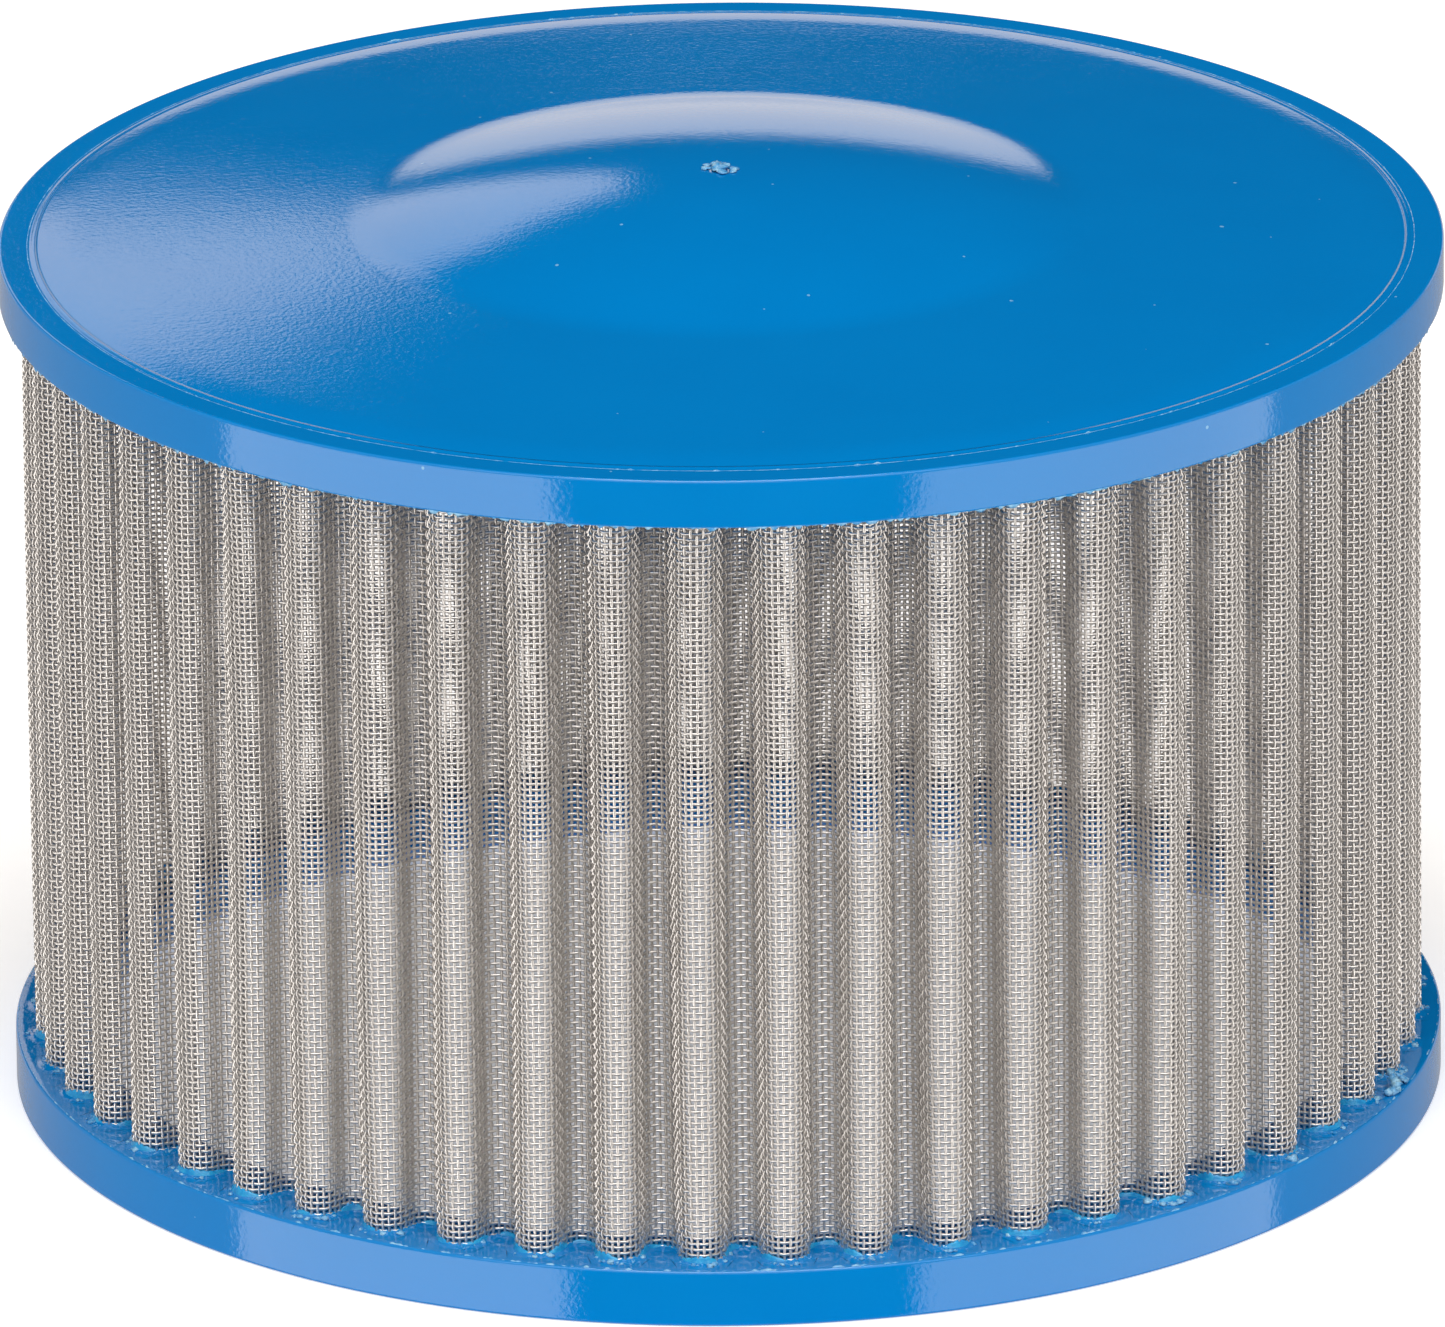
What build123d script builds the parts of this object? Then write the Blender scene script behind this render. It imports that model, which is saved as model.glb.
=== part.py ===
"""Oil filter element: a pleated tube of woven steel cloth between two moulded plastic ends.

The top end is a closed, slightly domed cap. The bottom end is an open ring, and the oil leaves
through its bore. Both ends are moulded over the cloth, so their grooves are the cloth's own shape.

Origin: centre of the bottom face, +Z up along the axis. Millimetres.
"""

import os
from math import acos, asin, atan2, cos, degrees, hypot, radians, sin, tan

from build123d import *

# ---- overall -------------------------------------------------------------------------------
rim_height = 36.8           # bottom face to the top of the cap's rim
crest_diameter = 58.2       # over the outside of the pleats; both ends are sized from it

# ---- wire cloth ----------------------------------------------------------------------------
cloth = 0.2                 # thickness of the cloth: two wires of 0.1
pleats = 52
pleat_depth = 1.9           # from the outside of a crest to the inside of a valley
crest_share = 0.545         # bend radius at a crest, as a share of half a pleat's width
valley_share = 0.435        # bend radius at a valley, as a share of the same
first_valley = -88.9        # azimuth of one valley, in degrees
embedded = 1.0              # how deep the cloth's edges sit in the plastic

# ---- bottom ring ---------------------------------------------------------------------------
ring_cover = 0.8            # how far the flange reaches past the crests
ring_thickness = 2.4
ring_collar = 0.3           # how far the ring backs the cloth on the inside, above the flange
collar_wall = 0.5           # plastic between the bore and the valleys of the cloth
lead_in = 1.0               # chamfer at the mouth of the bore
ring_edge = 0.3             # rounding of the flange's outer edges

# ---- top cap -------------------------------------------------------------------------------
cap_cover = 0.9             # how far the cap reaches past the crests
skirt_height = 2.05         # the cap's outer wall
cap_collar = 0.3            # how far the cap backs the cloth on the inside, below the skirt
plate = 1.6                 # wall of the cap's plate
rim_width = 1.35            # flat land round the cap, outside the shoulder
rim_edge = 0.3              # rounding of the cap's outer edge
underside_lift = 0.3        # the plate's underside meets the bore this far above rim less wall
shoulder_width = 3.65       # the plate rises from the land through this rounded shoulder
shoulder_angle = 11.0       # slope where the shoulder leaves the land, in degrees
plate_angle = 3.3           # slope of the plate between shoulder and crown, in degrees
crown_diameter = 29.4       # circle where the plate turns into the crown
crown_rise = 1.9            # crown over its own circle
crown_fillet = 3.0          # hollow corner round the crown
gate_diameter = 1.5         # stub left where the plastic was injected
gate_height = 0.25
collar_fillet = 0.6         # inside corner between plate and collar

# ---- seam ----------------------------------------------------------------------------------
seam_valley = 13            # the valley, counted from the first, where the strip of cloth closes
seam_tab = 2.0              # the two ends of the cloth, turned inwards and laid together
clip_wall = 0.3             # folded steel strip that clamps them
clip_gap = 0.2              # from the clip's open edges to the cloth
seam_end_gap = 0.3          # from the seam's ends to the collars

# ---- derived -------------------------------------------------------------------------------
pitch = 360 / pleats
crest_outside = crest_diameter / 2
cap_radius = crest_outside + cap_cover
ring_radius = crest_outside + ring_cover
root = crest_outside - pleat_depth
bore = root - collar_wall
skirt_bottom = rim_height - skirt_height
cloth_bottom = ring_thickness - embedded
cloth_top = skirt_bottom + embedded
ring_collar_top = ring_thickness + ring_collar
cap_collar_bottom = skirt_bottom - cap_collar
half_pleat = (crest_outside - pleat_depth / 2) * sin(radians(pitch / 2))
crest_bend = crest_share * half_pleat       # to the middle of the cloth
valley_bend = valley_share * half_pleat
crest_centre = crest_outside - cloth / 2 - crest_bend
valley_centre = root + cloth / 2 + valley_bend
seam_azimuth = first_valley + seam_valley * pitch


def polar(radius, azimuth):
    """Point at a radius from the axis and an azimuth in degrees."""
    return (radius * cos(radians(azimuth)), radius * sin(radians(azimuth)))


def flank_angle():
    """Angle from the radius through a crest to the square of the flank beside it, in degrees.

    A flank is the straight line that touches the crest's bend on its outer side and the
    valley's bend on its inner side.
    """
    valley_x, valley_y = polar(valley_centre, pitch / 2)
    across = hypot(valley_x - crest_centre, valley_y)
    direction = degrees(atan2(valley_y, valley_x - crest_centre))
    return direction - degrees(acos((crest_bend + valley_bend) / across))


def pleat_face(shift):
    """Everything inside a line that follows the pleats, `shift` outside the cloth's middle."""
    flank = flank_angle()
    with BuildSketch(mode=Mode.PRIVATE) as face:
        with BuildLine():
            for count in range(pleats):
                valley = first_valley + count * pitch
                crest = valley + pitch / 2
                crest_point = polar(crest_centre, crest)
                bend = crest_bend + shift
                crest_arc = CenterArc(crest_point, bend, crest - flank, 2 * flank)
                valley_point = polar(valley_centre, valley + pitch)
                bend = valley_bend - shift
                turn = flank - pitch / 2
                start = valley + pitch + 180 + turn
                valley_arc = CenterArc(valley_point, bend, start, -2 * turn)
                Line(crest_arc @ 1, valley_arc @ 0)
                next_crest = polar(crest_centre, crest + pitch)
                foot = polar(crest_bend + shift, crest + pitch - flank)
                Line(valley_arc @ 1, (next_crest[0] + foot[0], next_crest[1] + foot[1]))
        make_face()
    return face.sketch


def seam_plane(height):
    """Plane at a height whose X runs out along the seam's radius."""
    return Plane(origin=(0, 0, height), x_dir=(*polar(1, seam_azimuth), 0), z_dir=(0, 0, 1))


# ---- pleated_screen: one strip of cloth, folded and closed into a tube -----------------------
seam_bottom = ring_collar_top + seam_end_gap
seam_length = cap_collar_bottom - seam_end_gap - seam_bottom
tab_end = root - seam_tab

with BuildPart() as pleated_screen:
    with BuildSketch(Plane.XY.offset(cloth_bottom)):
        add(pleat_face(cloth / 2))
        add(pleat_face(-cloth / 2), mode=Mode.SUBTRACT)
    extrude(amount=cloth_top - cloth_bottom)
    with BuildSketch(seam_plane(seam_bottom)):
        with Locations((tab_end, 0)):
            Rectangle(seam_tab + cloth / 2, 2 * cloth, align=(Align.MIN, Align.CENTER))
    extrude(amount=seam_length)
pleated_screen.part.label = "pleated_screen"

# ---- seam_clip: folded strip, crimped over the two ends of the cloth -------------------------
clip_depth = seam_tab + clip_wall - clip_gap
clip_width = 2 * cloth + 2 * clip_wall

with BuildPart() as seam_clip:
    with BuildSketch(seam_plane(seam_bottom)):
        with Locations((tab_end - clip_wall, 0)):
            Rectangle(clip_depth, clip_width, align=(Align.MIN, Align.CENTER))
        with Locations((tab_end, 0)):
            Rectangle(seam_tab, 2 * cloth, align=(Align.MIN, Align.CENTER), mode=Mode.SUBTRACT)
    extrude(amount=seam_length)
    fold = seam_clip.edges().filter_by(Axis.Z).sort_by(SortBy.DISTANCE)[:2]
    fillet(fold, radius=clip_wall * 0.9)
seam_clip.part.label = "seam_clip"

# ---- bottom_ring: flange round the cloth's foot, with a collar behind the pleats -------------
with BuildPart() as bottom_ring:
    with BuildSketch():
        Circle(ring_radius)
    extrude(amount=ring_thickness)
    fillet(bottom_ring.edges().filter_by(GeomType.CIRCLE), radius=ring_edge)
    with BuildSketch(Plane.XY.offset(ring_edge)):
        add(pleat_face(0))
    extrude(amount=ring_collar_top - ring_edge)
    Hole(bore)
    mouth = bottom_ring.edges().filter_by(GeomType.CIRCLE)
    mouth = mouth.filter_by(lambda edge: abs(edge.radius - bore) < cloth).sort_by(Axis.Z)
    chamfer(mouth[0], length=lead_in)
    add(pleated_screen.part, mode=Mode.SUBTRACT)
bottom_ring.part.label = "bottom_ring"

# ---- top_cap: crowned plate inside a flat land, moulded over the cloth's upper edge -----------
land_inside = cap_radius - rim_width
shoulder_sine = sin(radians(shoulder_angle)) - sin(radians(plate_angle))
shoulder_radius = shoulder_width / shoulder_sine
crown = crown_diameter / 2
crown_sphere = (crown**2 + crown_rise**2) / (2 * crown_rise)
crown_angle = degrees(asin(crown / crown_sphere))
plate_under_edge = rim_height - plate + underside_lift
sleeve = (bore + root) / 2

with BuildPart() as top_cap:
    with BuildSketch(Plane.XZ) as section:
        with BuildLine() as outside:
            leave = (-cos(radians(shoulder_angle)), sin(radians(shoulder_angle)))
            turn = plate_angle - shoulder_angle
            shoulder = JernArc((land_inside, rim_height), leave, shoulder_radius, -turn)
            plate_run = (shoulder @ 1).X - crown
            crown_circle = (shoulder @ 1).Y + plate_run * tan(radians(plate_angle))
            crown_centre = crown_circle + crown_rise - crown_sphere
            Line(shoulder @ 1, (crown, crown_circle))
            CenterArc((0, crown_centre), crown_sphere, 90 - crown_angle, crown_angle)
            Line((0, crown_centre + crown_sphere), (0, crown_centre + crown_sphere - plate))
            CenterArc((0, crown_centre - plate), crown_sphere, 90 - crown_angle, crown_angle)
            Polyline(
                (crown, crown_circle - plate),
                (bore, plate_under_edge),
                (bore, cap_collar_bottom),
                (sleeve, cap_collar_bottom),
                (sleeve, skirt_bottom),
                (cap_radius, skirt_bottom),
                (cap_radius, rim_height),
                (land_inside, rim_height),
            )
        make_face()
        corners = section.vertices()
        fillet(corners.sort_by_distance((cap_radius, rim_height))[0], radius=rim_edge)
        corners = section.vertices()
        fillet(corners.sort_by_distance((bore, plate_under_edge))[0], radius=collar_fillet)
        corners = section.vertices()
        fillet(corners.sort_by_distance((crown, crown_circle))[0], radius=crown_fillet)
    revolve(axis=Axis.Z)
    with BuildSketch(Plane.XY.offset(cap_collar_bottom)):
        add(pleat_face(0))
        Circle((bore + sleeve) / 2, mode=Mode.SUBTRACT)
    extrude(amount=cap_collar + embedded / 2)
    crown_top = crown_centre + crown_sphere
    with BuildSketch(Plane.XY.offset(crown_top - plate / 2)):
        Circle(gate_diameter / 2)
    extrude(amount=plate / 2 + gate_height)
    add(pleated_screen.part, mode=Mode.SUBTRACT)
top_cap.part.label = "top_cap"

# ---- files -----------------------------------------------------------------------------------
os.makedirs("parts", exist_ok=True)
export_step(pleated_screen.part, "parts/pleated_screen.step")
export_step(seam_clip.part, "parts/seam_clip.step")
export_step(bottom_ring.part, "parts/bottom_ring.step")
export_step(top_cap.part, "parts/top_cap.step")
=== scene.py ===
# %% [markdown]
# # A pleated oil filter element
# The object is a strainer: a sleeve of fine stainless wire cloth, folded into pleats so that a
# small element has a large area, with a blue plastic end moulded over each edge of the cloth.
# The top end is a closed, domed cap and the bottom end is an open ring. The model is loaded as a
# fixed frame, and every piece below is built from its sizes, in metres, in the same place.

# %% The frame
import math
import bpy
import numpy as np
from mathutils import Matrix, Vector


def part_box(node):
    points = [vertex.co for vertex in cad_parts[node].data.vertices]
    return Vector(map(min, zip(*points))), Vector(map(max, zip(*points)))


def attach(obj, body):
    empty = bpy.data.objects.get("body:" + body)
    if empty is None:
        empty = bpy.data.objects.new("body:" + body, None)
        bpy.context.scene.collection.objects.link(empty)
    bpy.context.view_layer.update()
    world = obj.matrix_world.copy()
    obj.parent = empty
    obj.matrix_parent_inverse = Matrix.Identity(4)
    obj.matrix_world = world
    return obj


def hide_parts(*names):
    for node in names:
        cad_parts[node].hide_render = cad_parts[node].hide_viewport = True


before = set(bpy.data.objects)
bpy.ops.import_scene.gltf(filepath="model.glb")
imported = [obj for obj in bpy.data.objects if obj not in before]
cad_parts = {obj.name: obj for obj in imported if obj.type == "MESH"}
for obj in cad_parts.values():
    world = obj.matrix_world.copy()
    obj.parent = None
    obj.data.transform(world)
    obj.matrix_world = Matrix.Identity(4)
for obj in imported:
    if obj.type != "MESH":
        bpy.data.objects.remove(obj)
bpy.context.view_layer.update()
mm = 0.001
_, ring_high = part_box("bottom_ring")
cap_low, cap_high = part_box("top_cap")
clip_low, clip_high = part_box("seam_clip")

# %% [markdown]
# ## Sizes of the pleats and the two ends
# The frame gives the outer sizes. The rest are the sizes of the drawing that a box around a part
# can't show: how many pleats there are, how tightly the cloth is folded, how thick its wire is.
# The bends are shares of half a pleat's width, so a pleat of another size keeps its shape.

# %% Sizes
cap_radius = cap_high.x
ring_radius = ring_high.x
collar_top = ring_high.z
collar_bottom = cap_low.z
flange_top = 2.4 * mm
skirt_bottom = 34.75 * mm
rim_height = 36.8 * mm
bore = 26.7 * mm

pleats = 52
first_valley = math.radians(-88.9)
seam_valley = 13
crest_outside = 29.1 * mm
pleat_depth = 1.9 * mm
crest_share = 0.545
valley_share = 0.435
cloth = 0.2 * mm
wire = 0.1 * mm
mesh_pitch = 0.254 * mm

pitch = 2 * math.pi / pleats
half_pleat = (crest_outside - pleat_depth / 2) * math.sin(pitch / 2)
crest_bend = crest_share * half_pleat
valley_bend = valley_share * half_pleat
crest_centre = crest_outside - cloth / 2 - crest_bend
valley_centre = crest_outside - pleat_depth + cloth / 2 + valley_bend
print("pleat pitch at the crests in mm:", round(crest_outside * pitch / mm, 2))

# %% [markdown]
# ## The line of the cloth
# Seen from above, the cloth is one closed line: a round bend at every crest, a tighter one at
# every valley, and straight flanks between them. Working with the distance along that line, and
# not with an angle, keeps the wires evenly spaced round every bend, as they are in real cloth.

# %% The line of the cloth
valley_x = valley_centre * math.cos(pitch / 2)
valley_y = valley_centre * math.sin(pitch / 2)
centres_apart = math.hypot(valley_x - crest_centre, valley_y)
towards_valley = math.atan2(valley_y, valley_x - crest_centre)
flank_angle = towards_valley - math.acos((crest_bend + valley_bend) / centres_apart)
half_crest = crest_bend * flank_angle
flank = math.sqrt(centres_apart**2 - (crest_bend + valley_bend) ** 2)
half_valley = valley_bend * (flank_angle - pitch / 2)
pleat_length = 2 * (half_crest + flank + half_valley)
cloth_length = pleats * pleat_length


def cloth_line(along, shift=0.0):
    """Points and outward normals of the cloth's middle line at distances along it."""
    count = np.floor(along / pleat_length)
    place = along - count * pleat_length - pleat_length / 2
    side = np.sign(place) + (place == 0)
    place = np.abs(place)
    crest_turn = np.clip(place, 0, half_crest) / crest_bend
    valley_turn = np.clip(place - half_crest - flank, 0, half_valley) / valley_bend
    angle = crest_turn - valley_turn
    on_flank = np.clip(place - half_crest, 0, flank)
    x = crest_centre + crest_bend * np.cos(crest_turn) - on_flank * math.sin(flank_angle)
    y = crest_bend * np.sin(crest_turn) + on_flank * math.cos(flank_angle)
    in_valley = place > half_crest + flank
    x = np.where(in_valley, valley_x - valley_bend * np.cos(angle), x)
    y = np.where(in_valley, valley_y - valley_bend * np.sin(angle), y)
    normal_x, normal_y = np.cos(angle), side * np.sin(angle)
    x, y = x + shift * normal_x, side * y + shift * normal_y
    turn = first_valley + (count + 0.5) * pitch
    cos, sin = np.cos(turn), np.sin(turn)
    points = np.stack([cos * x - sin * y, sin * x + cos * y], -1)
    normals = np.stack([cos * normal_x - sin * normal_y, sin * normal_x + cos * normal_y], -1)
    return points, normals


print("cloth in one sleeve, in mm:", round(cloth_length / mm, 1))

# %% [markdown]
# ## Meshes from arrays
# The cloth has over a thousand wires, so meshes are made from whole arrays of points and faces. A
# grid of points becomes a surface by joining each point to its neighbours, and it is closed
# where its last column joins its first.


# %% A mesh from a grid of points
def new_mesh(name, points, faces, uv=None):
    """A smooth-shaded mesh object from points (n, 3) and four-sided faces (m, 4)."""
    mesh = bpy.data.meshes.new(name)
    mesh.vertices.add(len(points))
    mesh.vertices.foreach_set("co", np.asarray(points, np.float32).ravel())
    mesh.loops.add(faces.size)
    mesh.loops.foreach_set("vertex_index", faces.ravel().astype(np.int32))
    mesh.polygons.add(len(faces))
    mesh.polygons.foreach_set("loop_start", np.arange(0, faces.size, 4, dtype=np.int32))
    mesh.polygons.foreach_set("use_smooth", np.ones(len(faces), bool))
    if uv is not None:
        layer = mesh.uv_layers.new(name="OFBake")
        layer.data.foreach_set("uv", np.asarray(uv, np.float32).ravel())
    mesh.update(calc_edges=True)
    mesh.validate()
    piece = bpy.data.objects.new(name, mesh)
    bpy.context.scene.collection.objects.link(piece)
    return piece


def grid_faces(rows, columns, close_rows=False, close_columns=True):
    """Faces that join a grid of points, rows by columns."""
    row = np.arange(rows if close_rows else rows - 1)[:, None]
    column = np.arange(columns if close_columns else columns - 1)[None, :]
    next_row = (row + 1) % rows
    next_column = (column + 1) % columns
    corners = [
        row * columns + column,
        row * columns + next_column,
        next_row * columns + next_column,
        next_row * columns + column,
    ]
    return np.stack(np.broadcast_arrays(*corners), -1).reshape(-1, 4)


print("a tube of 3 rows and 8 columns has", len(grid_faces(3, 8)), "faces")

# %% [markdown]
# ## Shader maths as Python
# A material's mask is a sum of a few textures, which takes many Math nodes to draw by hand. Here
# an output socket is wrapped, so that it can be added, multiplied and compared like a number,
# and every operation adds its own node. Python turns 1 - mask into the reflected form.


# %% Sockets in expressions
class Link:
    """One output socket that works in Python expressions."""

    def __init__(self, recipe, socket):
        self.recipe, self.socket = recipe, socket

    def __add__(self, other):
        return self.recipe.maths("ADD", self, other)

    def __radd__(self, other):
        return self.recipe.maths("ADD", other, self)

    def __sub__(self, other):
        return self.recipe.maths("SUBTRACT", self, other)

    def __rsub__(self, other):
        return self.recipe.maths("SUBTRACT", other, self)

    def __mul__(self, other):
        return self.recipe.maths("MULTIPLY", self, other)

    def __rmul__(self, other):
        return self.recipe.maths("MULTIPLY", other, self)

    def __lt__(self, other):
        return self.recipe.maths("LESS_THAN", self, other)

    def __gt__(self, other):
        return self.recipe.maths("GREATER_THAN", self, other)


print("a socket's expressions can use + - * < and >")

# %% [markdown]
# ## One recipe for every material
# A recipe is a material with its Principled shader. One method makes any node: its settings are
# set first, because they change which sockets it has, and then its sockets are fed with values
# or links. The methods after it are the few steps that every finish here needs.


# %% The recipe of a material
class Recipe:
    """The node tree of one material, with its Principled shader."""

    def __init__(self, name):
        self.material = bpy.data.materials.new(name)
        self.material.use_nodes = True
        self.tree = self.material.node_tree
        self.shader = self.tree.nodes["Principled BSDF"]

    def feed(self, socket, value):
        if isinstance(value, Link):
            self.tree.links.new(value.socket, socket)
        else:
            socket.default_value = value

    def node(self, kind, settings=None, output=0, at=None, **named):
        """A node of any type: its settings, then its sockets by position and by name."""
        made = self.tree.nodes.new(kind)
        for name, value in (settings or {}).items():
            setattr(made, name, value)
        for position, value in (at or {}).items():
            self.feed(made.inputs[position], value)
        for name, value in named.items():
            wanted = name.replace("_", " ")
            sockets = [s for s in made.inputs if s.name == wanted and s.enabled]
            self.feed(sockets[0], value)
        return Link(self, made.outputs[output])

    def maths(self, operation, *values):
        return self.node("ShaderNodeMath", {"operation": operation}, at=dict(enumerate(values)))

    def place(self, scale=(1, 1, 1)):
        """Where a point is on the object, in millimetres, stretched by a scale."""
        spot = self.node("ShaderNodeTexCoord", output=3)
        stretch = tuple(s / mm for s in scale)
        return self.node("ShaderNodeVectorMath", {"operation": "MULTIPLY"},
                         at={0: spot, 1: stretch})

    def noise(self, vector, scale, detail=2.0):
        return self.node("ShaderNodeTexNoise", Vector=vector, Scale=scale, Detail=detail)

    def mix(self, factor, a, b):
        """A colour between two colours."""
        a, b = (c if isinstance(c, Link) else (*c, 1) for c in (a, b))
        return self.node("ShaderNodeMix", {"data_type": "RGBA"}, output=2,
                         at={0: factor, 6: a, 7: b})

    def bump(self, height, distance):
        return self.node("ShaderNodeBump", Strength=1.0, Distance=distance, Height=height)

    def set(self, **values):
        """Feed the Principled shader's sockets by name, and give back the material."""
        for name, value in values.items():
            self.feed(self.shader.inputs[name.replace("_", " ")], value)
        return self.material


print("steps of a recipe:", [step for step in vars(Recipe) if not step.startswith("_")])

# %% [markdown]
# ## Blue moulded plastic
# The ends are one glossy blue, straight from the mould. Close up the gloss isn't a mirror: the
# steel of the mould leaves a fine orange peel, the flow of the plastic leaves faint streaks, and
# dust and stress leave pale specks. Height goes to a bump, and specks go to the colour.


# %% Blue moulded plastic
def moulded_blue():
    blue = Recipe("moulded_blue")
    place = blue.place()
    peel = blue.noise(place, 5.2, detail=3.0)
    flow = blue.noise(blue.place((0.22, 1.0, 1.0)), 2.4, detail=2.0)
    cloud = blue.noise(place, 0.16, detail=2.0)
    dust = blue.node("ShaderNodeTexVoronoi", {"feature": "F1"}, Vector=place, Scale=0.55)
    dust_size = blue.noise(place, 0.9) * 0.16 - 0.055
    speck = dust < dust_size
    deep = blue.mix(cloud, (0.0, 0.195, 0.55), (0.0, 0.215, 0.59))
    colour = blue.mix(speck * 0.55, deep, (0.33, 0.66, 0.86))
    height = peel * 0.7 + flow * 0.3 + speck * 0.6
    return blue.set(
        Base_Color=colour,
        Roughness=0.02 + peel * 0.04 + cloud * 0.03,
        Normal=blue.bump(height, 0.0085 * mm),
        IOR=1.5,
        Coat_IOR=1.5,
    )


blue_plastic = moulded_blue()
print("material:", blue_plastic.name)

# %% [markdown]
# ## Torn plastic
# Where hot plastic squeezed through the cloth or out of the mould's joint it is paper thin. Thin
# and stretched plastic goes pale, and its lighter, cyan blue is partly that real whitening and
# partly painted light: a painted glow of light through the thin plastic and painted highlights
# on its lips, burrs and crumbs.


# %% Torn plastic
def torn_blue(name, palest_and_lit):
    torn = Recipe(name)
    place = torn.place()
    # The pale end of this mask is partly real whitening and partly a painted glow and highlight.
    white = (torn.noise(place, 3.0, detail=3.0) - 0.3) * 2.0
    colour = torn.mix(white, (0.0, 0.25, 0.62), palest_and_lit)
    return torn.set(
        Base_Color=colour,
        Roughness=0.18 + white * 0.2,
        Normal=torn.bump(white, 0.02 * mm),
        IOR=1.5,
    )


# Both pale colours are partly real whitening and partly a painted highlight and glow.
crept_plastic = torn_blue("crept_blue", (0.03, 0.45, 0.76))
torn_plastic = torn_blue("torn_blue", (0.46, 0.76, 0.90))
print("materials:", crept_plastic.name, torn_plastic.name)

# %% [markdown]
# ## Stainless wire
# Drawn wire is bright but not polished: the die leaves it a little rough, and the colour drifts
# between cool and warm from the annealing. The crimps hide from the light by themselves.


# %% Stainless wire
def stainless_wire():
    steel = Recipe("stainless_wire")
    place = steel.place()
    drift = steel.noise(place, 0.35, detail=2.0)
    grain = steel.noise(place, 7.0, detail=1.0)
    return steel.set(
        Base_Color=steel.mix(drift, (0.74, 0.705, 0.67), (0.84, 0.81, 0.78)),
        Roughness=0.30 + grain * 0.16,
        Metallic=1.0,
    )


wire_steel = stainless_wire()
print("material:", wire_steel.name)

# %% [markdown]
# ## Rolled strip
# The seam's strip was rolled and slit, so its fine lines all run along it.


# %% Rolled strip
def rolled_strip():
    strip = Recipe("rolled_strip")
    lines = strip.noise(strip.place((1.0, 1.0, 0.03)), 14.0, detail=3.0)
    stain = strip.noise(strip.place(), 0.5, detail=2.0)
    return strip.set(
        Base_Color=strip.mix(stain, (0.52, 0.50, 0.47), (0.66, 0.65, 0.63)),
        Roughness=0.24 + lines * 0.2,
        Metallic=1.0,
        Normal=strip.bump(lines, 0.004 * mm),
    )


strip_steel = rolled_strip()
print("material:", strip_steel.name)

# %% [markdown]
# ## Camera
# A long lens from a metre away keeps the rim's ellipse and the base's ellipse almost alike. The
# camera looks down by about twenty degrees and is turned by half a degree, and it aims a
# little below the middle of the element.

# %% Camera
camera_distance = 34.46 * cap_radius
camera_elevation = math.radians(20.34)
camera_roll = 0.010
aim = Vector((-0.10 * mm, 0, rim_height / 2 - 0.57 * mm))
lens = 616.7

camera_data = bpy.data.cameras.new("camera")
camera_data.lens = lens
camera_data.sensor_width = 36
camera_data.sensor_fit = "HORIZONTAL"
camera_data.clip_start = 0.05
camera_data.clip_end = 20
camera = bpy.data.objects.new("camera", camera_data)
bpy.context.scene.collection.objects.link(camera)
back = Vector((0, -math.cos(camera_elevation), math.sin(camera_elevation)))
camera.location = aim + back * camera_distance
turn = back.to_track_quat("Z", "Y").to_matrix().to_4x4()
camera.matrix_world = Matrix.Translation(camera.location) @ turn @ Matrix.Rotation(-camera_roll, 4, "Z")
bpy.context.scene.camera = camera
print("camera at", [round(c, 3) for c in camera.location])

# %% [markdown]
# ## Light
# A glossy object shows its lamps, so each one is placed by what it should draw. A low bright
# band behind draws the crescent on the crown. Two low boxes in front draw the pale panels on the
# round walls. A big box above the camera lights the wires, and one overhead lights the plate.
# Between the lamps, two black cards keep the blue deep.

# %% Lamps
middle = Vector((0, 0, rim_height / 2))
warm = (1.0, 0.84, 0.68)
neutral = (1.0, 0.97, 0.94)


def direction(azimuth, elevation):
    """Unit vector; azimuth 0 points to the back and turns to the right, in degrees."""
    a, e = math.radians(azimuth), math.radians(elevation)
    return Vector((math.sin(a) * math.cos(e), math.cos(a) * math.cos(e), math.sin(e)))


def window(azimuths, elevations, distance):
    """Place, turn and size of a rectangle that fills a window of directions."""
    azimuth, elevation = sum(azimuths) / 2, sum(elevations) / 2
    half_wide = math.radians(azimuths[1] - azimuths[0]) * math.cos(math.radians(elevation)) / 2
    half_high = math.radians(elevations[1] - elevations[0]) / 2
    towards = direction(azimuth, elevation)
    turn = towards.to_track_quat("Z", "Y")
    return (middle + towards * distance, turn,
            2 * distance * math.tan(half_wide), 2 * distance * math.tan(half_high))


def soft_box(name, azimuths, elevations, radiance, colour=warm, distance=0.9):
    """A lamp in a window of directions, seen in reflections but not by the camera.

    Its power grows with its face, so a box of any size is as bright as its radiance says.
    """
    data = bpy.data.lights.new(name, "AREA")
    place, turn, data.size, data.size_y = window(azimuths, elevations, distance)
    data.shape = "RECTANGLE"
    data.energy = 4 * radiance * data.size * data.size_y
    data.color = colour
    lamp = bpy.data.objects.new(name, data)
    lamp.matrix_world = Matrix.Translation(place) @ turn.to_matrix().to_4x4()
    lamp.visible_camera = False
    bpy.context.scene.collection.objects.link(lamp)


band_top = 9.8
soft_box("low_band_behind", (-38, 38), (-10, band_top), 0.5, distance=2.6)
soft_box("box_low_left", (-154, -95), (-40, -4), 2.0, neutral)
soft_box("box_low_right", (83, 150), (-40, -4), 1.6, neutral)
soft_box("box_above_camera", (130, 230), (28, 66), 1.4, neutral)
soft_box("box_overhead", (110, 250), (68, 90), 6.0, neutral)

# %% World
world_strength = 0.45
world = bpy.data.worlds.new("studio")
world.use_nodes = True
world.node_tree.nodes["Background"].inputs["Color"].default_value = (1.0, 0.97, 0.95, 1)
world.node_tree.nodes["Background"].inputs["Strength"].default_value = world_strength
bpy.context.scene.world = world
bpy.context.scene.view_settings.view_transform = "Standard"
print("strength of the pale world:", world_strength)

# %% [markdown]
# ## Black cards
# Gloss looks deep only where it mirrors something dark. Two cards of black velvet, one behind
# above the bright band and one low in front, are kept out of the camera's own view.


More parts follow.
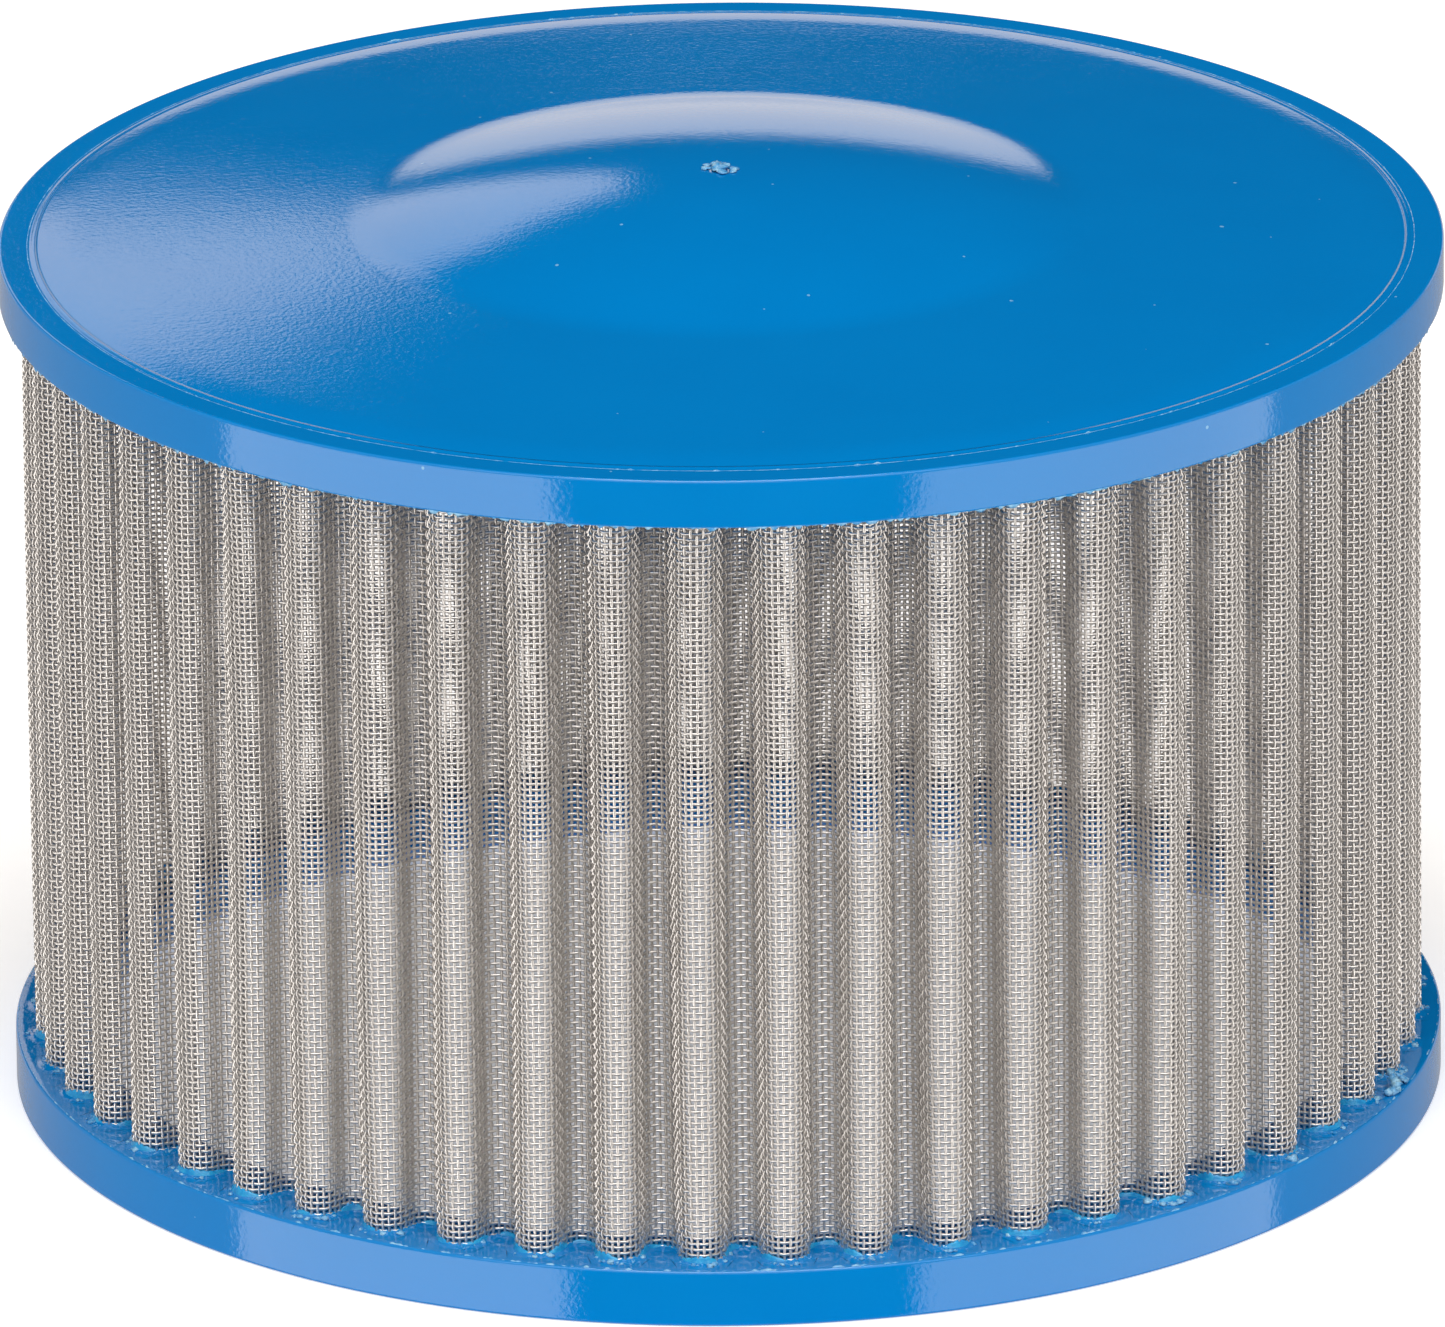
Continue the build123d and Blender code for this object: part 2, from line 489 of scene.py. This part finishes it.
# %% Black cards
def black_velvet():
    velvet = Recipe("black_velvet")
    pile = velvet.noise(velvet.place(), 0.3)
    return velvet.set(Base_Color=velvet.mix(pile, (0.002, 0.002, 0.002), (0.006, 0.006, 0.006)),
                      Roughness=1.0)


velvet = black_velvet()


def card(name, azimuths, elevations, distance):
    """A black card that only reflections see."""
    place, turn, wide, high = window(azimuths, elevations, distance)
    x, y = wide / 2, high / 2
    corners = np.array([(-x, -y, 0), (x, -y, 0), (x, y, 0), (-x, y, 0)])
    made = new_mesh(name, corners, np.array([[0, 1, 2, 3]]))
    made.data.materials.append(velvet)
    made.matrix_world = Matrix.Translation(place) @ turn.to_matrix().to_4x4()
    made.visible_camera = False
    made.visible_shadow = False


card("card_behind", (-45, 45), (band_top, 66), 3.2)
card("card_in_front", (150, 206), (-45, -3), 1.2)
print("black cards behind and in front")

# %% [markdown]
# ## White card
# The fan on the plate is a lit white card at the back left with a blunt corner, so it isn't a
# rectangle. It is one face through a list of directions, and it glows.


# %% White card
def white_card(name, directions, radiance, distance=2.6):
    """A glowing card whose corners are given as directions, seen only in reflections."""
    paper = Recipe(name)
    grain = paper.noise(paper.place(), 0.02)
    paper.set(Base_Color=paper.mix(grain, (0.78, 0.76, 0.74), (0.82, 0.80, 0.78)), Roughness=0.9,
              Emission_Color=(*warm, 1), Emission_Strength=radiance)
    mesh = bpy.data.meshes.new(name)
    mesh.from_pydata([middle + direction(*d) * distance for d in directions], [],
                     [range(len(directions))])
    made = bpy.data.objects.new(name, mesh)
    bpy.context.scene.collection.objects.link(made)
    mesh.materials.append(paper.material)
    made.visible_camera = False
    made.visible_shadow = False


white_card("fan_card", [(-3.3, 19.2), (-3.4, 23.5), (-11, 31), (-20, 31), (-20, 14), (-10.5, 13)],
           0.85)
print("white card at the back left")

# %% [markdown]
# ## Floor
# A plain pale sheet that glows a little. Mirror rays pass it, so the round walls show the soft
# boxes; a disc of the same sheet inside the bore keeps them out of the inside.


# %% Floor
def pale_floor():
    paper = Recipe("pale_paper")
    fibre = paper.noise(paper.place(), 0.8, detail=4.0)
    return paper.set(
        Base_Color=paper.mix(fibre, (0.86, 0.86, 0.86), (0.92, 0.92, 0.92)),
        Roughness=0.9,
        Emission_Color=(1.0, 0.98, 0.96, 1),
        Emission_Strength=0.35,
    )


floor_half = 3.0
floor_level = -0.01 * mm
corners = [(-floor_half, -floor_half, floor_level), (floor_half, -floor_half, floor_level),
           (floor_half, floor_half, floor_level), (-floor_half, floor_half, floor_level)]
floor = new_mesh("floor", np.array(corners), np.array([[0, 1, 2, 3]]))
floor.data.materials.append(pale_floor())
floor.visible_glossy = False
print("floor, in metres across:", 2 * floor_half)

# %% Sheet in the bore
sheet_columns = 64
sheet_level = 0.02 * mm
sheet_radii = (0.5 * mm, 0.5 * bore, bore - 0.2 * mm)
sheet_turn = np.linspace(0, 2 * math.pi, sheet_columns + 1)[:-1]
disc = [np.column_stack([r * np.cos(sheet_turn), r * np.sin(sheet_turn),
                         np.full(sheet_columns, sheet_level)]) for r in sheet_radii]
sheet = new_mesh("sheet_in_bore", np.concatenate(disc), grid_faces(len(disc), sheet_columns))
sheet.data.materials.append(floor.data.materials[0])
print("sheet in the bore, in mm across:", round(2 * sheet_radii[-1] / mm, 1))

# %% [markdown]
# ## Woven wire cloth
# Plain weave: every upright wire passes in front of one cross wire and behind the next, and its
# neighbour does the opposite. Each wire is a real tube, so light, shade and the view through
# the openings come from the weave itself. A wire's middle stands off the cloth's middle by half
# a wire's thickness at each crossing, outwards and inwards in turn.

# %% Counting the wires
upright_count = 2 * round(cloth_length / mesh_pitch / 2)
buried = 0.15 * mm
cloth_low = flange_top - buried
cloth_high = skirt_bottom + buried
cross_count = round((cloth_high - cloth_low) / mesh_pitch) + 1
heights = np.linspace(cloth_low, cloth_high, cross_count)
places = np.arange(upright_count) * cloth_length / upright_count
print("upright wires:", upright_count, "cross wires:", cross_count)

# %% [markdown]
# ## Slack in the pleats
# A real sleeve is never a perfect gear: between its two moulded ends every pleat leans a little
# to one side and stands a little in or out. A few small waves round the sleeve do the same, and
# they fade out at both ends, where the plastic holds the cloth.

# %% Slack of the pleats
sideways_slack = 0.00085
outward_slack = 0.018 * mm
slack = np.random.default_rng(11)
slack_waves = [(int(slack.integers(9, 47)), slack.uniform(0, 2 * math.pi),
                slack.uniform(0, 2 * math.pi)) for _ in range(9)]


def crossings():
    """Point and normal of the cloth's middle at every crossing, with the pleats' slack."""
    flat, normal = cloth_line(places)
    radius = np.hypot(flat[:, 0], flat[:, 1])[:, None]
    azimuth = np.arctan2(flat[:, 1], flat[:, 0])[:, None]
    rise = ((heights - cloth_low) / (cloth_high - cloth_low))[None, :]
    free = np.sin(math.pi * rise) ** 0.6
    sway = sum(np.sin(n * azimuth + a + 1.2 * np.sin(2 * rise + b)) for n, a, b in slack_waves)
    breathe = sum(np.cos(n * azimuth + b + rise) for n, a, b in slack_waves)
    azimuth = azimuth + free * sway * sideways_slack
    radius = radius + free * breathe * outward_slack
    points = np.stack([radius * np.cos(azimuth), radius * np.sin(azimuth),
                       np.broadcast_to(heights[None, :], radius.shape)], -1)
    normals = np.stack([np.broadcast_to(normal[:, 0:1], radius.shape),
                        np.broadcast_to(normal[:, 1:2], radius.shape),
                        np.zeros(radius.shape)], -1)
    return points, normals


crossing, facing = crossings()
crimp = np.where((np.arange(upright_count)[:, None] + np.arange(cross_count)) % 2, 1.0, -1.0)
crimp = crimp[:, :, None] * facing * wire / 2
print("crossings:", crossing.shape[0] * crossing.shape[1], "slack waves:", len(slack_waves))

# %% [markdown]
# ## Wires as tubes
# A curve with a bevel would give the same wires, but over a thousand curves are slow to convert.
# The tubes are worked out as one array instead: four points round every crossing, joined along
# the wire. Four sides keep the cloth light; smooth shading makes them look round.


# %% Wires as tubes
tube_sides = 4
tube_radius = 1.36 * wire / 2


def wires(name, middle_line, across_a, across_b, closed):
    """Tubes round lines of points (wires, points, 3), in one piece."""
    count, length = middle_line.shape[:2]
    turn = (np.arange(tube_sides) + 0.5) * 2 * math.pi / tube_sides
    spoke = (across_a[:, :, None] * np.cos(turn)[:, None] +
             across_b[:, :, None] * np.sin(turn)[:, None])
    points = (middle_line[:, :, None] + spoke * tube_radius).reshape(-1, 3)
    one = grid_faces(length, tube_sides, close_rows=closed)
    faces = (one[None] + np.arange(count)[:, None, None] * length * tube_sides).reshape(-1, 4)
    steps = length if closed else length - 1
    row = np.arange(steps)[:, None] / steps
    side = np.arange(tube_sides)[None, :] / tube_sides
    row, side = np.broadcast_arrays(row, side)
    u = np.stack([side, side + 1 / tube_sides, side + 1 / tube_sides, side], -1) * 0.8 + 0.1
    v = np.stack([row, row, row + 1 / steps, row + 1 / steps], -1)
    u = (u[None] + np.arange(count)[:, None, None, None]) / count
    v = np.broadcast_to(v[None], u.shape)
    piece = new_mesh(name, points, faces, np.stack([u, v], -1).reshape(-1, 2))
    piece.data.materials.append(wire_steel)
    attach(piece, "root")
    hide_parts("pleated_screen")


print("tubes of", tube_sides, "sides, in mm across:", round(2 * tube_radius / mm, 3))

# %% Upright wires
cloth_pieces = 6
up = np.zeros_like(facing)
up[:, :, 2] = 1
sideways = np.cross(up, facing)
upright = crossing + crimp
for part, chosen in enumerate(np.array_split(np.arange(upright_count), cloth_pieces)):
    wires(f"upright_wires_{part + 1}", upright[chosen], facing[chosen], sideways[chosen], False)
print("upright wires in", cloth_pieces, "pieces")

# %% Cross wires
cross = np.swapaxes(crossing - crimp, 0, 1)
cross_facing = np.swapaxes(facing, 0, 1)
cross_up = np.swapaxes(up, 0, 1)
for part, chosen in enumerate(np.array_split(np.arange(cross_count), cloth_pieces)):
    wires(f"cross_wires_{part + 1}", cross[chosen], cross_up[chosen], cross_facing[chosen], True)
print("cross wires in", cloth_pieces, "pieces")

# %% [markdown]
# ## The two ends of the cloth
# The strip of cloth starts and ends at one valley. Both ends turn inwards, lie together and go
# into the folded steel strip, so two short plies of the same weave join the sleeve to it.

# %% Seam plies
seam_azimuth = first_valley + seam_valley * pitch
seam_out = np.array([math.cos(seam_azimuth), math.sin(seam_azimuth), 0.0])
seam_side = np.array([-math.sin(seam_azimuth), math.cos(seam_azimuth), 0.0])
inside_fold = 0.35 * mm
ply_crimp = 0.4 * wire
ply_radii = np.linspace(clip_low.x + inside_fold, valley_centre - valley_bend, 9)
ply_heights = np.arange(clip_low.z + mesh_pitch, clip_high.z - mesh_pitch / 2, mesh_pitch)
rising = np.array([0, 0, 1.0])
for ply, side in (("left", 1), ("right", -1)):
    flat = ply_radii[:, None, None] * seam_out + side * cloth / 2 * seam_side
    points = flat + ply_heights[None, :, None] * rising
    wave = np.where((np.arange(len(ply_radii))[:, None] + np.arange(len(ply_heights))) % 2, 1, -1)
    wave = wave[:, :, None] * seam_side * ply_crimp
    out = np.broadcast_to(seam_out, points.shape)
    sideways_ply = np.broadcast_to(seam_side, points.shape)
    up_ply = np.broadcast_to(rising, points.shape)
    wires(f"seam_uprights_{ply}", points + wave, sideways_ply, -out, False)
    lines = [np.swapaxes(a, 0, 1) for a in (points - wave, up_ply, -sideways_ply)]
    wires(f"seam_cross_wires_{ply}", *lines, False)
print("seam plies at", round(math.degrees(seam_azimuth), 1), "degrees")

# %% [markdown]
# ## Moulded ends
# Both ends are round outside and follow the pleats where they meet the cloth. One function
# makes them from rows: a row is either a circle, or the cloth's own line moved in or out. All
# rows have the same columns, so each row joins the next without a gap.


# %% A body made of rows
def moulded(name, rows, columns_in_pleat, node, finish):
    """A closed skin through rows of ("circle", radius, height) or ("cloth", shift, height)."""
    columns = pleats * columns_in_pleat
    along = np.arange(columns) * cloth_length / columns
    line, _ = cloth_line(along)
    azimuth = np.arctan2(line[:, 1], line[:, 0])
    points = []
    for kind, size, height in rows:
        if kind == "circle":
            flat = size * np.stack([np.cos(azimuth), np.sin(azimuth)], -1)
        else:
            flat, _ = cloth_line(along, size)
        level = height(np.hypot(flat[:, 0], flat[:, 1])) if callable(height) else height
        points.append(np.column_stack([flat, np.full(columns, level)]))
    piece = new_mesh(name, np.concatenate(points), grid_faces(len(rows), columns, True))
    piece.data.materials.append(finish)
    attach(piece, "root")
    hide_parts(node)
    return piece


def rounded(centre, radius, start, end, steps=5):
    """Rows round a small arc in the section, angles in degrees from outwards to upwards."""
    turns = np.radians(np.linspace(start, end, steps))
    return [("circle", centre[0] + radius * math.cos(t), centre[1] + radius * math.sin(t))
            for t in turns]


def straight(start, end, steps):
    """Rows along a straight line in the section, both ends included."""
    return [("circle", start[0] + (end[0] - start[0]) * t, start[1] + (end[1] - start[1]) * t)
            for t in np.linspace(0, 1, steps)]


ring_columns = 22
cap_columns = 16
beside_cloth = crest_outside + 0.45 * mm
behind_cloth = -0.12 * mm
print("columns in a pleat:", ring_columns, "on the ring and", cap_columns, "on the cap")

# %% [markdown]
# ## Bottom ring
# The flange is flat where it shows between the feet of the pleats. The plastic crept a little up
# the cloth as it set, and behind the pleats it is a low land that ends at the bore.

# %% Bottom ring
ring_edge = 0.13 * mm
lead_in = 1.0 * mm
creep = 0.18 * mm
creep_reach = 0.46
land_fall = 0.06


def collar_level(radius):
    """The land behind the cloth falls a little from the bore out to the crests."""
    return collar_top - (radius - bore) * land_fall


ring_rows = straight((bore + lead_in, 0), (ring_radius - ring_edge - 0.02 * mm, 0), 5)
ring_rows += rounded((ring_radius - ring_edge, ring_edge), ring_edge, -88, -2, 6)
ring_rows += straight((ring_radius, ring_edge + 0.02 * mm),
                      (ring_radius, flange_top - ring_edge - 0.02 * mm), 7)
ring_rows += rounded((ring_radius - ring_edge, flange_top - ring_edge), ring_edge, 2, 88, 6)
ring_rows += [("circle", beside_cloth, flange_top)]
ring_rows += [("cloth", shift * mm, flange_top + creep * (1 - shift / creep_reach) ** 2)
              for shift in (creep_reach, 0.38, 0.30, 0.22, 0.14, 0.06)]
ring_rows += [("cloth", -0.05 * mm, flange_top + creep), ("cloth", behind_cloth, collar_level)]
ring_rows += straight((bore + 0.35 * mm, collar_top), (bore + 0.12 * mm, collar_top), 2)
ring_rows += rounded((bore + 0.12 * mm, collar_top - 0.12 * mm), 0.12 * mm, 110, 180, 4)
ring_rows += straight((bore, collar_top - 0.2 * mm), (bore, lead_in + 0.05 * mm), 6)
ring_rows += straight((bore + 0.05 * mm, lead_in - 0.05 * mm),
                      (bore + lead_in - 0.04 * mm, 0.04 * mm), 3)
bottom_ring = moulded("moulded_ring", ring_rows, ring_columns, "bottom_ring", blue_plastic)
print("bottom ring faces:", len(bottom_ring.data.polygons))

# %% [markdown]
# ## Top cap
# From the outside in: a flat land, a low ridge, a rounded shoulder, a plate that rises gently
# like a cone, a soft hollow, and the domed crown. A lathe could turn this section, but the cap's
# underside has to follow the pleats, so it is made from rows like the ring. The first cell works
# the section out, and the second lists its rows from the bore round to the collar.

# %% Section of the cap
land = 1.35 * mm
rim_edge = 0.12 * mm
skirt_edge = 0.1 * mm
shoulder_width = 2.1 * mm
shoulder_angle = math.radians(11.0)
plate_angle = math.radians(3.6)
crown = 14.7 * mm
crown_rise = 1.9 * mm
hollow = 9.0 * mm
plate = 1.6 * mm
corner = 0.6 * mm
ridge = ((-0.24, 0.050), (-0.17, 0.058), (-0.10, 0.048), (-0.03, 0.018), (0.02, 0.0), (0.05, 0.0))

shoulder_start = cap_radius - land
shoulder_radius = shoulder_width / (math.sin(shoulder_angle) - math.sin(plate_angle))
shoulder_turns = np.linspace(shoulder_angle, plate_angle, 14)
shoulder_end = shoulder_start - shoulder_width
shoulder_rise = shoulder_radius * (math.cos(plate_angle) - math.cos(shoulder_angle))
crown_sphere = (crown**2 + crown_rise**2) / (2 * crown_rise)
crown_angle = math.asin(crown / crown_sphere)
crown_circle = rim_height + shoulder_rise + (shoulder_end - crown) * math.tan(plate_angle)
crown_middle = crown_circle + crown_rise - crown_sphere
hollow_reach = hollow * math.tan((crown_angle - plate_angle) / 2)
hollow_x = crown + hollow_reach * math.cos(plate_angle) + hollow * math.sin(plate_angle)
hollow_z = crown_circle - hollow_reach * math.sin(plate_angle) + hollow * math.cos(plate_angle)
plate_under = rim_height - plate + 0.3 * mm
print("crown above the rim in mm:", round((crown_circle + crown_rise - rim_height) / mm, 2))


# %% Top cap
def shoulder_row(turn):
    """A row on the shoulder where its slope is the given angle."""
    inwards = shoulder_radius * (math.sin(shoulder_angle) - math.sin(turn))
    rise = shoulder_radius * (math.cos(turn) - math.cos(shoulder_angle))
    return ("circle", shoulder_start - inwards, rim_height + rise)


def crown_row(turn):
    """A row on the crown at an angle from the axis."""
    return ("circle", crown_sphere * math.sin(turn), crown_middle + crown_sphere * math.cos(turn))


def hollow_row(turn):
    """A row in the hollow corner where its slope is the given angle."""
    return ("circle", hollow_x - hollow * math.sin(turn), hollow_z - hollow * math.cos(turn))


cap_rows = straight((bore, collar_bottom + 0.1 * mm), (bore, plate_under - corner), 3)
cap_rows += rounded((bore - corner, plate_under - corner), corner, 8, 86, 6)
cap_rows += straight((bore - corner - 0.3 * mm, plate_under + 0.02 * mm),
                     (crown, crown_circle - plate), 6)
cap_rows += [("circle", radius, height - plate) for _, radius, height in
             map(crown_row, np.linspace(crown_angle, 0.002, 12))]
cap_rows += [crown_row(turn) for turn in np.linspace(0.002, crown_angle - 0.03, 22)]
cap_rows += [hollow_row(turn) for turn in np.linspace(crown_angle - 0.02, plate_angle, 9)]
cap_rows += straight((crown + 0.9 * mm, crown_circle - 0.9 * mm * math.tan(plate_angle)),
                     (shoulder_end + 0.2 * mm, rim_height + shoulder_rise), 9)[:-1]
cap_rows += [shoulder_row(turn) for turn in shoulder_turns[:0:-1]]
cap_rows += [("circle", shoulder_start + across * mm, rim_height + up * mm)
             for across, up in ridge]
cap_rows += straight((shoulder_start + 0.2 * mm, rim_height),
                     (cap_radius - rim_edge - 0.02 * mm, rim_height), 5)
cap_rows += rounded((cap_radius - rim_edge, rim_height - rim_edge), rim_edge, 88, 2, 6)
cap_rows += straight((cap_radius, rim_height - rim_edge - 0.02 * mm),
                     (cap_radius, skirt_bottom + skirt_edge + 0.02 * mm), 6)
cap_rows += rounded((cap_radius - skirt_edge, skirt_bottom + skirt_edge), skirt_edge, -20, -90, 4)
cap_rows += [("circle", beside_cloth, skirt_bottom)]
cap_rows += [("cloth", 0.3 * mm, skirt_bottom), ("cloth", 0.12 * mm, skirt_bottom - 0.06 * mm)]
cap_rows += [("cloth", -0.05 * mm, skirt_bottom - 0.1 * mm)]
cap_rows += [("cloth", behind_cloth, collar_bottom + 0.04 * mm)]
cap_rows += [("circle", bore + 0.3 * mm, collar_bottom), ("circle", bore + 0.1 * mm, collar_bottom)]
top_cap = moulded("moulded_cap", cap_rows[::-1], cap_columns, "top_cap", blue_plastic)
print("top cap faces:", len(top_cap.data.polygons))

# %% [markdown]
# ## Flash and torn plastic
# Nobody trims a strainer's ends, so the mould's leavings stay on it: a thin ragged lip where the
# plastic crept up the cloth, crumbs round the feet of the pleats, broken burrs along the edges
# where the mould closed, and on the crown the torn stub of the plastic's way in.

# %% Ragged values round a ring
ragged = np.random.default_rng(23)


def ragged_ring(count, width, share):
    """Values from 0 to 1 round a closed ring; only about the given share is above 0."""
    rough = ragged.normal(size=count)
    kernel = np.hanning(width + 2)[1:-1]
    smooth = np.real(np.fft.ifft(np.fft.fft(rough) * np.fft.fft(kernel, count)))
    smooth = smooth / smooth.std()
    floor_value = np.quantile(smooth, 1 - share)
    return np.clip((smooth - floor_value) / 2.2, 0, 1)


def ride_as_plastic(piece, node, finish=torn_plastic):
    """Give a piece of flash its finish, and join it to the moulded end it hangs from."""
    piece.data.materials.append(finish)
    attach(piece, "root")
    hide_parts(node)


print("ragged pieces are made of:", torn_plastic.name, "and", crept_plastic.name)

# %% Lip where the plastic crept up the cloth
lip_columns = pleats * 36
lip_along = np.arange(lip_columns) * cloth_length / lip_columns


def creep_lip(name, node, level, up, share):
    """A thin lip on the cloth's outer face, at a level, reaching up or down."""
    reach = 0.04 + 0.26 * ragged_ring(lip_columns, 9, share)
    rows = [(0.22, -0.02, 0), (0.16, 0.03, 0.2), (0.10, 0.08, 0.6), (0.06, 0.10, 1.0),
            (-0.02, 0.10, 1.0), (-0.02, -0.05, 0)]
    points = [np.column_stack([cloth_line(lip_along, shift * mm)[0],
                               level + up * (base + reach * part) * mm])
              for shift, base, part in rows]
    order = points if up > 0 else points[::-1]
    piece = new_mesh(name, np.concatenate(order), grid_faces(len(rows), lip_columns, True))
    ride_as_plastic(piece, node, crept_plastic)


creep_lip("creep_on_ring", "bottom_ring", flange_top, 1, 0.6)
creep_lip("creep_on_cap", "top_cap", skirt_bottom, -1, 0.4)
print("lips follow", pleats, "pleats")


# %% Burrs where the mould closed
def burr(name, node, radius, level, up, width, height, share):
    """A broken fin round an edge; its height comes and goes."""
    columns = 3600
    azimuth = np.arange(columns) * 2 * math.pi / columns
    tall = height * ragged_ring(columns, 7, share)
    wander = radius + 0.25 * width * ragged_ring(columns, 31, 0.9)
    section = [(width, -0.03 * mm, 0), (0.1 * width, 0, 1), (-width, -0.03 * mm, 0)]
    points = [np.column_stack([(wander + across) * np.cos(azimuth),
                               (wander + across) * np.sin(azimuth),
                               level + up * (base + tall * part)])
              for across, base, part in section]
    order = points if up > 0 else points[::-1]
    piece = new_mesh(name, np.concatenate(order), grid_faces(len(section), columns, True))
    ride_as_plastic(piece, node)


burr("burr_on_ring", "bottom_ring", ring_radius - 0.12 * mm, flange_top - 0.03 * mm, 1,
     0.05 * mm, 0.11 * mm, 0.6)
burr("burr_under_cap", "top_cap", cap_radius - 0.07 * mm, skirt_bottom + 0.02 * mm, -1,
     0.05 * mm, 0.15 * mm, 0.6)
burr("burr_on_shoulder", "top_cap", shoulder_start + 0.12 * mm, rim_height + 0.01 * mm, 1,
     0.04 * mm, 0.07 * mm, 0.10)
print("burrs on three edges")


# %% Crumbs
def lumps(name, node, centres, sizes, flatness=0.6):
    """Small uneven lumps, all in one piece."""
    rings, spokes = 6, 8
    polar = np.linspace(0.12, math.pi - 0.12, rings)[:, None]
    around = (np.arange(spokes) * 2 * math.pi / spokes)[None, :]
    ball = np.stack([np.sin(polar) * np.cos(around), np.sin(polar) * np.sin(around),
                     np.broadcast_to(np.cos(polar), (rings, spokes)) * flatness], -1)
    uneven = ragged.uniform(0.55, 1.35, (len(centres), rings, spokes, 1))
    points = centres[:, None, None] + ball[None] * uneven * sizes[:, None, None, None]
    sides = grid_faces(rings, spokes)[:, ::-1]
    lids = [np.array([[0, k, k + 1, k + 2]]) for k in range(1, spokes - 1, 2)]
    lids = np.concatenate([lid % spokes for lid in lids])
    one = np.concatenate([sides, lids, lids[:, ::-1] + (rings - 1) * spokes])
    faces = (one[None] + np.arange(len(centres))[:, None, None] * rings * spokes).reshape(-1, 4)
    piece = new_mesh(name, points.reshape(-1, 3), faces)
    ride_as_plastic(piece, node)


crumb_count = 620
crumbly_bearing = -48
crumbly_width = 22
crest_of_crumb = ragged.integers(0, pleats, crumb_count)
crumb_along = (crest_of_crumb + 0.5) * pleat_length + ragged.normal(0, 0.75 * mm, crumb_count)
crumb_flat, _ = cloth_line(crumb_along, 0.1 * mm)
crumb_out = 1 + ragged.uniform(0.0, 0.35, crumb_count)[:, None] * mm / crest_outside
crumb_place = np.column_stack([crumb_flat * crumb_out, np.full(crumb_count, flange_top + 0.03 * mm)])
crumb_size = ragged.gamma(2.0, 0.035, crumb_count).clip(0.02, 0.19) * mm
bearing = np.degrees(np.arctan2(crumb_place[:, 1], crumb_place[:, 0]))
crumb_size *= np.where(np.abs(bearing - crumbly_bearing) < crumbly_width, 1.35, 1.0)
lumps("flash_crumbs", "bottom_ring", crumb_place, crumb_size)
print("crumbs:", crumb_count)

# %% A torn curl of flash
curl_bearing = -21.5
curl_sweep = 3.2
curl_turn = np.linspace(0, 1, 14)
curl_azimuth = np.radians(curl_bearing + curl_sweep * curl_turn)
curl_radius = crest_outside + (0.38 + 0.22 * np.sin(9 * curl_turn)) * mm
curl_place = np.column_stack([curl_radius * np.cos(curl_azimuth), curl_radius * np.sin(curl_azimuth),
                              flange_top + (0.12 + 0.5 * np.sin(math.pi * curl_turn) ** 2) * mm])
lumps("torn_curl", "bottom_ring", curl_place, ragged.uniform(0.13, 0.26, len(curl_turn)) * mm, 0.8)
print("torn curl of", len(curl_turn), "lumps")

# %% Stub of the gate
crown_top = crown_middle + crown_sphere
gate_radius = 0.75 * mm
stub_count = 26
stub_reach = gate_radius * np.sqrt(ragged.uniform(0, 1, stub_count))
stub_azimuth = ragged.uniform(0, 2 * math.pi, stub_count)
stub_place = np.column_stack([stub_reach * np.cos(stub_azimuth), stub_reach * np.sin(stub_azimuth),
                              crown_top + 0.11 * mm * (1 - stub_reach / mm)])
lumps("gate_stub", "top_cap", stub_place, ragged.uniform(0.10, 0.24, stub_count) * mm, 0.35)
print("stub of the gate on the crown")

# %% [markdown]
# ## The strip of the seam
# A folded strip has no detail that its drawing leaves out, so the modelled one stays as it is
# and only takes on the finish of rolled steel.

# %% The strip of the seam
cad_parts["seam_clip"].data.materials.clear()
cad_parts["seam_clip"].data.materials.append(strip_steel)
print("seam strip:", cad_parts["seam_clip"].data.materials[0].name)

# %% [markdown]
